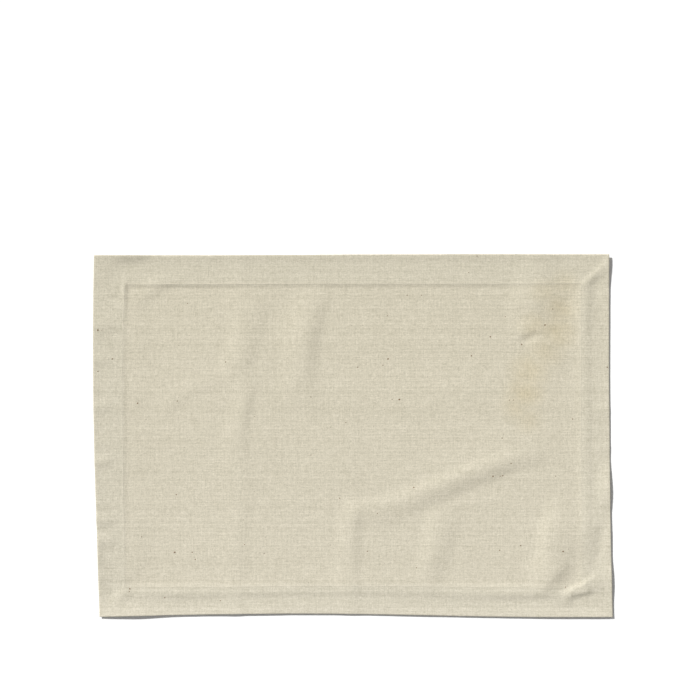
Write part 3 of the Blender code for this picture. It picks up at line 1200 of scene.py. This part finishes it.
@dataclass
class Cloth:
    """The placemat's one piece of cloth, with its double hem on all four sides.

    The edge steps are grid stations measured in from where the outer fold starts, and
    the outside and inside steps are stations on either side of the hem's inner edge.
    The field between them has cells of one size. The outer fold bends to a radius of
    bend and the inner one to fold_radius.
    """

    shape: LyingShape
    name: str = "cotton_cloth"
    edge_steps: tuple[float, ...] = (0.0, 0.0008, 0.0020, 0.0040, 0.0065, 0.0090)
    hem_steps: int = 3
    outside_steps: tuple[float, ...] = (
        0.0150, 0.0134, 0.0120, 0.0106, 0.0092, 0.0076, 0.0060, 0.0046, 0.0032, 0.0023,
        0.0015, 0.0007)
    inside_steps: tuple[float, ...] = (0.0, 0.0009, 0.0019, 0.0031, 0.0046, 0.0064, 0.0086)
    field_size: tuple[float, float] = (0.440, 0.296)
    cell: float = 0.0026
    settling_rounds: int = 4
    bend: float = 0.0007
    fold_radius: float = 0.00025
    raw_edge_clearance: float = 0.0002
    round_steps: int = 5
    under_shares: tuple[float, ...] = (0.06, 0.25, 0.50, 0.75, 1.0)
    fold_steps: int = 3
    turned_shares: tuple[float, ...] = (0.30, 0.65, 1.0)
    flat_size: tuple[float, float] = (0.577, 0.428)
    hem_tone_run: float = 0.004
    stain_spread: float = 1.6
    top_island: Island = Island((0.01, 0.01), 1.90, (0.2545, 0.1785))
    under_island: Island = Island((0.01, 0.705), 0.66, (0.2885, 0.214))
    inner_island: Island = Island((0.41, 0.705), 0.66, (0.2885, 0.214))

    @property
    def start(self) -> float:
        """How far in from the outer edge the flat of the top layer starts."""
        return HALF_PLY + self.bend

    def stations(self, field_width: float) -> list[tuple[Band, float]]:
        """Grid stations from the low edge to the middle of the field and back out.

        Args:
            field_width: width of the field, which sets how many cells it has.

        Returns:
            Pairs of a band and a distance or share. Past the middle they repeat in
            reverse, and the grid measures them from the high edge.
        """
        low = [(Band.EDGE, step) for step in self.edge_steps]
        low += [(Band.HEM, step / self.hem_steps) for step in range(1, self.hem_steps)]
        low += [(Band.OUTSIDE, step) for step in self.outside_steps]
        low += [(Band.INSIDE, step) for step in self.inside_steps]
        count = round((field_width - 2.0 * self.inside_steps[-1]) / self.cell)
        middle = [(Band.FIELD, step / count) for step in range(1, count)]
        return low + middle + low[::-1]

    def rings(self) -> list[Ring]:
        """List the loops that carry the cloth round its outer fold, under, and in.

        Returns:
            The loops, from the grid's rim to the raw edge.
        """
        shares = {
            Layer.ROUND: [step / self.round_steps for step in range(1, self.round_steps + 1)],
            Layer.UNDER: self.under_shares,
            Layer.FOLD: [step / self.fold_steps for step in range(1, self.fold_steps + 1)],
            Layer.TURNED: self.turned_shares}
        return [Ring(layer, share) for layer in shares for share in shares[layer]]

    def place(self, stations: list[tuple[Band, float]], number: Array, edges: list[Array],
              hems: list[Array]) -> Array:
        """Coordinate of grid stations between two opposite sides.

        Args:
            stations: the stations.
            number: the station of each vertex.
            edges: distances of the low and high sides' outer edges at each vertex.
            hems: widths of their hems there.

        Returns:
            The coordinate of each vertex.
        """
        amount = np.array([step for _, step in stations])[number]
        band = np.array([band.name for band, _ in stations])[number]
        upper = number >= 0.5 * len(stations)
        hem = np.where(upper, hems[1], hems[0])
        hem_low, hem_high = self.start + self.edge_steps[-1], hem - self.outside_steps[0]
        share = np.where(band == Band.HEM.name, amount, 0.0)
        inset = np.select(
            [band == Band.EDGE.name, band == Band.HEM.name, band == Band.OUTSIDE.name],
            [self.start + amount, blend(hem_low, hem_high, share), hem - amount], hem + amount)
        reach = self.inside_steps[-1]
        even = blend(hems[0] + reach - edges[0], edges[1] - hems[1] - reach, amount)
        edge_based = np.where(upper, edges[1] - inset, inset - edges[0])
        return np.where(band == Band.FIELD.name, even, edge_based)

    def pattern(self, columns: int, rows: int) -> bmesh.types.BMesh:
        """Cut the cloth: a grid, and loops grown from its rim for the hem.

        Args:
            columns: how many stations lie along X.
            rows: how many stations lie along Y.

        Returns:
            The sheet, whose X and Y are grid numbers and whose Z is the loop's number.
        """
        sheet = bmesh.new()
        bmesh.ops.create_grid(sheet, x_segments=columns - 1, y_segments=rows - 1, size=1.0)
        half = Vector((0.5 * (columns - 1), 0.5 * (rows - 1), 0.0))
        bmesh.ops.scale(sheet, verts=sheet.verts[:], vec=(half.x, half.y, 1.0))
        bmesh.ops.translate(sheet, verts=sheet.verts[:], vec=half)
        rim = [edge for edge in sheet.edges if edge.is_boundary]
        for _ in self.rings():
            rim = grow(sheet, rim, (0.0, 0.0, 1.0))
        bmesh.ops.recalc_face_normals(sheet, faces=sheet.faces[:])
        return sheet

    def lay(self, sheet: bmesh.types.BMesh, stations: list) -> Laid:
        """Work out where every vertex of the pattern lies.

        Args:
            sheet: the pattern.
            stations: the stations along X, and those along Y.

        Returns:
            The laid pattern.
        """
        spots = np.array([vert.co for vert in sheet.verts]).round().astype(int)
        numbers, loop = spots.T[:2], spots.T[2]
        grid = np.zeros(numbers.shape)
        for _ in range(self.settling_rounds):
            edge, hem = (self.shape.outline(name, *grid) for name in ("edge", "hem"))
            grid = np.stack([
                self.place(row, number, [edge[side] for side in sides],
                           [hem[side] for side in sides])
                for row, number, sides in zip(stations, numbers, OPPOSITE_SIDES)])
        edge, hem, turn = (self.shape.outline(name, *grid) for name in ("edge", "hem", "turn"))
        level = self.shape.top(*grid) - self.shape.rise(*grid)
        inset = {side: np.full(len(loop), self.start) for side in SideName}
        paid = {side: np.zeros(len(loop)) for side in SideName}
        for index, ring in enumerate(self.rings(), start=1):
            here = loop == index
            top = level[here]
            for side in SideName:
                inset[side][here], paid[side][here], level[here] = self.ring_place(
                    ring, hem[side][here], turn[side][here], top)
        lying, opened = grid.copy(), grid.copy()
        for axis, (low, high) in enumerate(OPPOSITE_SIDES):
            flat = edge[low] + edge[high] - 2.0 * self.start
            share = np.clip((grid[axis] + edge[low] - self.start) / flat, 0.0, 1.0)
            ring_place = blend(inset[low] - edge[low], edge[high] - inset[high], share)
            lying[axis] = np.where(loop > 0, ring_place, grid[axis])
            opened[axis] = np.where(numbers[axis] == 0, -edge[low] - paid[low],
                                    edge[high] + paid[high])
        height = level + self.shape.rise(*lying)
        return Laid(np.stack([*lying, height], axis=1), loop, numbers, opened)

    def ring_place(self, ring: Ring, hem: Array, turn: Array, top: Array) -> tuple:
        """Where a loop of the hem lies across it.

        Args:
            ring: the loop.
            hem: width of the hem at each vertex.
            turn: width of the turned-in edge there.
            top: level of the top layer at the outer edge.

        Returns:
            The distance in from the outer edge, the cloth paid out past that edge, and
            the level above the table before creases.
        """
        fold = hem - HALF_PLY - self.fold_radius
        angle = math.pi * ring.share
        if ring.layer is Layer.ROUND:
            inset = np.full(hem.shape, self.start - self.bend * math.sin(angle))
            paid = np.full(hem.shape, self.start * (2.0 * ring.share - 1.0))
            return inset, paid, blend(UNDER_LEVEL, top, 0.5 + 0.5 * math.cos(angle))
        if ring.layer is Layer.UNDER:
            inset = blend(self.start, fold, ring.share)
            return inset, inset, UNDER_LEVEL
        if ring.layer is Layer.FOLD:
            inset = fold + self.fold_radius * math.sin(angle)
            paid = hem + 2.0 * (ring.share - 0.5) * self.fold_radius
            return inset, paid, blend(UNDER_LEVEL, TURNED_LEVEL, 0.5 - 0.5 * math.cos(angle))
        inset = fold - ring.share * (turn - self.raw_edge_clearance)
        return inset, 2.0 * hem - inset, TURNED_LEVEL

    def build(self) -> bpy.types.Object:
        """Make the finished cloth.

        Returns:
            The piece, with its thickness, its maps and its masks.
        """
        stations = [self.stations(width) for width in self.field_size]
        sheet = self.pattern(*(len(row) for row in stations))
        laid = self.lay(sheet, stations)
        mesh = mesh_of(sheet, self.name)
        set_floats(mesh.vertices, "co", laid.place)
        mesh.update()
        if mesh.polygons[0].normal.z < 0.0:
            mesh.flip_normals()
        self.map_cloth(mesh, "grain", self.cut_places(mesh, laid))
        self.mark(mesh, laid)
        cloth = add_piece(mesh)
        self.thicken(cloth)
        return cloth

    def cut_places(self, mesh: bpy.types.Mesh, laid: Laid) -> Array:
        """Place of each face corner on the cut cloth.

        Args:
            mesh: the laid sheet.
            laid: the laid pattern.

        Returns:
            One pair for each face corner, in metres. It is where the corner lies on the
            top layer, and runs on outward past the edge through the hem.
        """
        corner = corner_vertices(mesh)
        loops, number_x = (
            values[corner].reshape(-1, 4) for values in (laid.loop, laid.numbers[0]))
        on_hem = loops.max(axis=1) > 0
        upright = number_x.min(axis=1) == number_x.max(axis=1)
        grown = laid.loop[corner] > 0
        return np.stack([
            np.where(np.repeat(on_hem & turned, 4) & grown, opened[corner], place[corner])
            for turned, opened, place in zip((upright, ~upright), laid.opened, laid.place.T)],
            axis=1)

    def map_cloth(self, mesh: bpy.types.Mesh, name: str, places: Array) -> None:
        """Write a UV map from one pair for each face corner."""
        set_floats(mesh.uv_layers.new(name=name).data, "uv", places)

    def mark(self, mesh: bpy.types.Mesh, laid: Laid) -> None:
        """Write the masks that the material reads, and each face's layer.

        Args:
            mesh: the laid sheet.
            laid: the laid pattern.
        """
        x, y, _ = laid.place.T
        gap = self.shape.section(x, y).line_gap
        hem = np.where(laid.loop > 0, 1.0, 1.0 - ease(gap / self.hem_tone_run + 0.5))
        stain = np.zeros(len(x))
        for patch in STAINS:
            distance = np.hypot(x - patch.x, y - patch.y)
            near = hill(distance / (self.stain_spread * patch.reach))
            stain = np.maximum(stain, patch.strength * near)
        for name, values in (("hem", hem), ("stain", stain)):
            set_floats(mesh.attributes.new(name, "FLOAT", "POINT").data, "value", values)
        corner = corner_vertices(mesh)
        outermost = laid.loop[corner].reshape(-1, 4).max(axis=1)
        layers = np.array([Layer.TOP.value] + [ring.layer.value for ring in self.rings()])
        inside = gap[corner].reshape(-1, 4).mean(axis=1) > 0.0
        for name, kind, values in (
                ("layer", "INT", layers[outermost].astype(np.int32)),
                ("field", "BOOLEAN", inside)):
            mesh.attributes.new(name, kind, "FACE").data.foreach_set("value", values)

    def thicken(self, cloth: bpy.types.Object) -> None:
        """Give the sheet its thickness, and map it for baking.

        Args:
            cloth: the sheet, which gets its final mesh.
        """
        modifier = cloth.modifiers.new("thickness", "SOLIDIFY")
        modifier.thickness = PLY
        modifier.offset = 0.0
        modifier.use_even_offset = True
        flat_faces = len(cloth.data.polygons)
        graph = bpy.context.evaluated_depsgraph_get()
        thick = bpy.data.meshes.new_from_object(cloth.evaluated_get(graph))
        thick.name = self.name
        cloth.modifiers.clear()
        cloth.data = thick
        self.map_for_baking(thick, flat_faces)
        thick.shade_smooth()

    def map_for_baking(self, mesh: bpy.types.Mesh, flat_faces: int) -> None:
        """Lay the whole surface out without overlaps, the top face largest.

        Args:
            mesh: the thick cloth.
            flat_faces: how many faces the sheet had, which come first and face out.
        """
        layer = get_values(mesh.attributes["layer"].data, "value", np.int32)
        inside = get_values(mesh.attributes["field"].data, "value", bool)
        totals = get_values(mesh.polygons, "loop_total", int)
        outer = np.arange(len(mesh.polygons)) < flat_faces
        shown = outer & (layer <= Layer.ROUND.value)
        below = (outer & (layer > Layer.ROUND.value)) | (
            ~outer & (layer == Layer.TOP.value) & inside)
        island = np.repeat(np.where(shown, 0, np.where(below, 1, 2)), totals)
        corner, scale, half = (np.array(values)[island] for values in zip(
            self.top_island, self.under_island, self.inner_island))
        cut = get_values(mesh.uv_layers["grain"].data, "uv", np.float32, 2).reshape(-1, 2)
        self.map_cloth(mesh, "OFBake", corner + (cut + half) * scale[:, None])


# ---------------------------------------------------------------- thread and husks


@dataclass
class Stitching:
    """Rows of lockstitch round the hem, one on the top face and one underneath."""

    shape: LyingShape
    name: str = "hem_stitching"
    pitch: float = 0.0024
    gap: float = 0.0003
    radius: float = 0.00020
    flatness: float = 0.8
    crown: float = 0.00012
    dive: float = 2.6               # how far a stitch's ends dive, in crowns
    end_width: float = 0.25         # share of the thread's width left at its ends
    under_level: float = 0.00013
    under_depth: float = 0.55
    spread: float = 0.05            # unevenness of the headings and of the lengths
    row_ends: tuple[float, float] = (0.25, 0.1755)
    around: int = 8
    along: int = 7
    seed: int = 5

    def stitch(self) -> bmesh.types.BMesh:
        """One stitch along X: a bowed thread whose ends dive into the cloth.

        Returns:
            The stitch, centred on the origin.
        """
        thread = bmesh.new()
        ring = bmesh.ops.create_circle(thread, segments=self.around, radius=self.radius)["verts"]
        upright = Vector((0.0, 0.0, 1.0)).rotation_difference(Vector((1.0, 0.0, 0.0)))
        bmesh.ops.rotate(thread, verts=ring, matrix=upright.to_matrix(), cent=(0.0, 0.0, 0.0))
        length = self.pitch - self.gap
        bmesh.ops.translate(thread, verts=ring, vec=(-0.5 * length, 0.0, 0.0))
        rim = thread.edges[:]
        for _ in range(self.along):
            rim = grow(thread, rim, (length / self.along, 0.0, 0.0))
        bmesh.ops.holes_fill(thread, edges=[edge for edge in thread.edges if edge.is_boundary])
        for vert in thread.verts:
            place = min(abs(vert.co.x) / (0.5 * length), 1.0)
            waist = blend(self.end_width, 1.0, math.sqrt(max(1.0 - place**6, 0.0)))
            vert.co.y *= waist
            bow = self.crown * (1.0 - self.dive * place**3)
            vert.co.z = vert.co.z * waist * self.flatness + bow
        bmesh.ops.recalc_face_normals(thread, faces=thread.faces[:])
        return thread

    def path(self, name: SideName) -> tuple[Array, Array, Array]:
        """Middles and headings of one side's stitches.

        Args:
            name: the side.

        Returns:
            The stitches' places along X and Y, and their headings in radians.
        """
        side = self.shape.side(name)
        axis, sign = name.value
        ends = []
        for end in OPPOSITE_SIDES[1 - axis]:
            other = self.shape.side(end)
            corner = np.array([sign * self.row_ends[axis]])
            inset = other.read("hem", corner) - other.stitch_in
            ends.append(end.value[1] * float((other.read("edge", corner) - inset)[0]))
        count = round((ends[1] - ends[0]) / self.pitch)
        along = blend(ends[0], ends[1], (np.arange(count) + 0.5) / count)
        out = sign * (side.read("edge", along) - side.read("hem", along) + side.stitch_in)
        heading = np.arctan(np.gradient(out, along))
        return (along, out, heading) if axis else (out, along, 0.5 * math.pi - heading)

    def build(self) -> bpy.types.Object:
        """Sew all four sides.

        Returns:
            One piece that holds every stitch of both rows.
        """
        single = mesh_of(self.stitch(), "stitch")
        paths = [self.path(name) for name in SideName]
        x, y, heading = (np.concatenate(values) for values in zip(*paths))
        row = len(x)
        chance = np.random.default_rng(self.seed)
        heading = heading + chance.normal(0.0, self.spread, row)
        stretch = 1.0 + chance.normal(0.0, self.spread, row)
        under = self.shape.rise(x, y) + self.under_level
        base = np.concatenate([self.shape.surface(x, y), under])
        x, y, heading, stretch = (np.tile(values, 2) for values in (x, y, heading, stretch))

        whole = bmesh.new()
        for _ in x:
            whole.from_mesh(single)
        mesh = mesh_of(whole, self.name)
        local = get_values(single.vertices, "co", float, 3).reshape(1, -1, 3)
        local = np.tile(local, (len(x), 1, 1))
        local[:, :, 0] *= stretch[:, None]
        local[row:, :, 2] *= -self.under_depth
        cosine, sine = np.cos(heading)[:, None], np.sin(heading)[:, None]
        set_floats(mesh.vertices, "co", np.stack([
            x[:, None] + cosine * local[:, :, 0] - sine * local[:, :, 1],
            y[:, None] + sine * local[:, :, 0] + cosine * local[:, :, 1],
            base[:, None] + local[:, :, 2]], axis=2))
        self.map_twist(mesh, local.reshape(-1, 3))
        whole = bmesh.new()
        whole.from_mesh(mesh)
        bmesh.ops.recalc_face_normals(whole, faces=whole.faces[:])
        whole.to_mesh(mesh)
        whole.free()
        mesh.shade_smooth()
        bpy.data.meshes.remove(single)
        return add_piece(mesh)

    def map_twist(self, mesh: bpy.types.Mesh, local: Array) -> None:
        """Map each stitch by its length and by the turn round it.

        Args:
            mesh: the joined stitches.
            local: every vertex as it lies on a stitch along X.
        """
        corner = corner_vertices(mesh)
        turn = np.arctan2(local[:, 2] - self.crown, local[:, 1]) / math.tau
        uv = np.stack([local[corner, 0], np.abs(turn[corner])], axis=1)
        set_floats(mesh.uv_layers.new(name="twist").data, "uv", uv)


class Fleck(NamedTuple):
    """One husk fragment: its place, its length, and its heading in degrees."""

    x: float
    y: float
    length: float
    heading: float


# x, y and length in millimetres, and heading
FLECKS = tabulate(Fleck, 3,
    (-247, 102, 2.2, 80), (-243, 102, 1.1, 60), (-233, 74, 1.8, 10), (-247, 62, 1.6, 40),
    (-211, 65, 0.9, 0), (-208.5, 31, 1.9, 30), (-170, 33, 1.4, 80), (-123, 71, 1.5, 60),
    (-160, 128, 1.2, 150), (-95, 18, 0.9, 20), (-40, 37, 1.4, 90), (-6, 12, 1.2, 0),
    (5.5, 66, 1.4, 160), (30, 68, 1.4, 90), (35, 74, 2, 15), (34.5, 116, 1.1, 30),
    (39, 34.5, 1.2, 0), (46, 34.5, 2.2, 10), (53.5, 136, 1.4, 50), (67.5, 136, 1.1, 10),
    (116, 77, 1.8, 30), (134.5, 95.5, 1.8, 160), (149, 115, 1.2, 45), (153, 34, 1.4, 20),
    (157, 34, 1.2, 0), (165, 88, 1.8, 120), (187.5, 107, 2, 10), (195, 122.5, 1.2, 0),
    (121.5, 174, 1.5, 0), (113.5, 158, 1.1, 30), (214.5, 15.5, 1.4, 70), (248, 66, 1.6, 0),
    (-171, -58, 1.6, 80), (-172.5, -114, 2.2, 10), (-155.5, -114, 1.6, 0),
    # The flecks at (-216, -149.5) and (-216.5, -152) stand for a dark spot on the front stitch
    # row near the left corner
    (-152.5, -121, 1.4, 40), (-204.5, -99, 1.2, 90), (-216, -149.5, 1.9, 75),
    (-216.5, -152, 1.3, 80), (-182, -158, 1.6, 10), (-104.5, -106.5, 1.2, 0),
    (-128, -161, 1.4, 30), (-85.5, -115, 1.2, 60), (-40, -19.5, 1.2, 40), (-12, -61.5, 1.4, 0),
    (24.5, -76, 1.4, 20), (15, -113, 1.4, 30), (60, -51, 1.8, 0), (62.5, -129, 1.2, 80),
    (137, -40, 1.9, 10), (144, -40, 1.2, 0), (146.5, -39.5, 1.6, 20), (146, -3, 1.4, 60),
    (154.5, -27.5, 1.4, 0), (164, -107.5, 1.6, 10), (143.5, -112, 1.5, 0), (198, -40, 1.2, 0),
    (205, -113, 1.9, 20), (207.5, -148, 1.8, 80))


@dataclass
class Husks:
    """The larger husk fragments, which lie half sunk in the weave."""

    shape: LyingShape
    name: str = "husk_flecks"
    flecks: tuple[Fleck, ...] = FLECKS
    width: float = 0.74             # share of the length
    thickness: float = 0.00036

    def build(self) -> bpy.types.Object:
        """Lay every fragment.

        Returns:
            One piece that holds them all.
        """
        x, y = np.array([fleck[:2] for fleck in self.flecks]).T
        body = bmesh.new()
        for fleck, height in zip(self.flecks, self.shape.surface(x, y)):
            size = Matrix.Diagonal((fleck.length, self.width * fleck.length, self.thickness, 1.0))
            turn = Matrix.Rotation(math.radians(fleck.heading), 4, "Z")
            place = Matrix.Translation((fleck.x, fleck.y, height))
            bmesh.ops.create_icosphere(
                body, subdivisions=1, radius=0.5, matrix=place @ turn @ size)
        return add_piece(mesh_of(body, self.name))


# ---------------------------------------------------------------- the stage


@dataclass(frozen=True)
class Stage:
    """Plain pale table, one soft key light from the back left, and pale surroundings."""

    half_size: float = 2.5
    key_strength: float = 4.35
    key_height: float = 38.0
    key_heading: float = 135.0
    key_softness: float = 5.0
    key_distance: float = 2.0
    fill: float = 0.28

    def table(self, level: float) -> bpy.types.Object:
        """Make the table top.

        Args:
            level: its height.

        Returns:
            The table, which is not part of the object.
        """
        top = bmesh.new()
        bmesh.ops.create_grid(top, x_segments=4, y_segments=4, size=self.half_size)
        bmesh.ops.translate(top, verts=top.verts[:], vec=(0.0, 0.0, level))
        table = add_piece(mesh_of(top, "table_top"))
        table.data.materials.append(PaleTable().make())
        return table

    def light(self) -> None:
        """Hang the key light and set the surroundings."""
        key = bpy.data.lights.new("key", "SUN")
        key.energy = self.key_strength
        key.angle = math.radians(self.key_softness)
        lamp = bpy.data.objects.new("key", key)
        height, heading = math.radians(self.key_height), math.radians(self.key_heading)
        towards = Vector((math.cos(height) * math.cos(heading),
                          math.cos(height) * math.sin(heading), math.sin(height)))
        lamp.rotation_euler = towards.to_track_quat("Z", "Y").to_euler()
        lamp.location = self.key_distance * towards
        bpy.context.scene.collection.objects.link(lamp)
        world = bpy.data.worlds.new("surroundings")
        world.use_nodes = True
        background = world.node_tree.nodes["Background"]
        background.inputs["Color"].default_value = (1.0, 1.0, 1.0, 1.0)
        background.inputs["Strength"].default_value = self.fill
        bpy.context.scene.world = world
        bpy.context.scene.view_settings.view_transform = "Standard"


@dataclass(frozen=True)
class OverheadCamera:
    """Camera straight above the table, with the mat in the lower part of its view."""

    lens: float = 85.0
    sensor: float = 36.0
    view_width: float = 0.681
    aim: tuple[float, float] = (-0.0026, 0.0831)
    clip: tuple[float, float] = (0.01, 50.0)

    def place(self, low: Vector, high: Vector) -> bpy.types.Object:
        """Hang the camera over the object's box.

        Args:
            low: the box's lowest corner.
            high: its highest corner.

        Returns:
            The camera.
        """
        middle = 0.5 * (low + high)
        data = bpy.data.cameras.new("overhead")
        data.lens = self.lens
        data.sensor_width = self.sensor
        data.clip_start, data.clip_end = self.clip
        camera = bpy.data.objects.new("overhead", data)
        distance = self.view_width * self.lens / self.sensor
        camera.location = (middle.x + self.aim[0], middle.y + self.aim[1], low.z + distance)
        bpy.context.scene.collection.objects.link(camera)
        bpy.context.scene.camera = camera
        return camera


def settle(pieces: list[bpy.types.Object], cloth: bpy.types.Object) -> None:
    """Move finished pieces so that the cloth's box stands where the CAD box does.

    Args:
        pieces: all the pieces, the cloth among them.
        cloth: the piece that is centred.
    """
    places = get_values(cloth.data.vertices, "co", float, 3).reshape(-1, 3)
    low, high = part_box(NODE)
    middle = 0.5 * (places.min(axis=0) + places.max(axis=0))
    shift = Vector((0.5 * (low.x + high.x) - middle[0], 0.5 * (low.y + high.y) - middle[1],
                    low.z))
    for piece in pieces:
        body = bmesh.new()
        body.from_mesh(piece.data)
        bmesh.ops.translate(body, verts=body.verts[:], vec=shift)
        body.to_mesh(piece.data)
        body.free()


def report(piece: bpy.types.Object) -> None:
    """Log one finished piece."""
    triangles = sum(len(polygon.vertices) - 2 for polygon in piece.data.polygons)
    log.info("%s: %d triangles", piece.name, triangles)


def main() -> None:
    """Build, dress and attach every piece, then set the stage."""
    logging.basicConfig(level=logging.INFO, format="%(name)s: %(message)s", force=True)
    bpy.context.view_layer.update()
    shape = LyingShape()
    log.info("relief: %s", ", ".join(part.name for part in (*shape.creases, *shape.raised)))
    cloth_maker = Cloth(shape)
    pieces = []
    for maker, finish in ((cloth_maker, UnbleachedCotton()),
                          (Stitching(shape), SewingThread()), (Husks(shape), Husk())):
        piece = maker.build()
        piece.data.materials.append(finish.make())
        pieces.append(piece)
    cloth, stitching, husks = pieces
    settle(pieces, cloth)
    for piece in pieces:
        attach(piece, BODY)
        report(piece)
    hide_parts(NODE)
    low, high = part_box(NODE)
    stage = Stage()
    table = stage.table(low.z)
    stage.light()
    OverheadCamera().place(low, high)


if __name__ == "__main__":
    main()
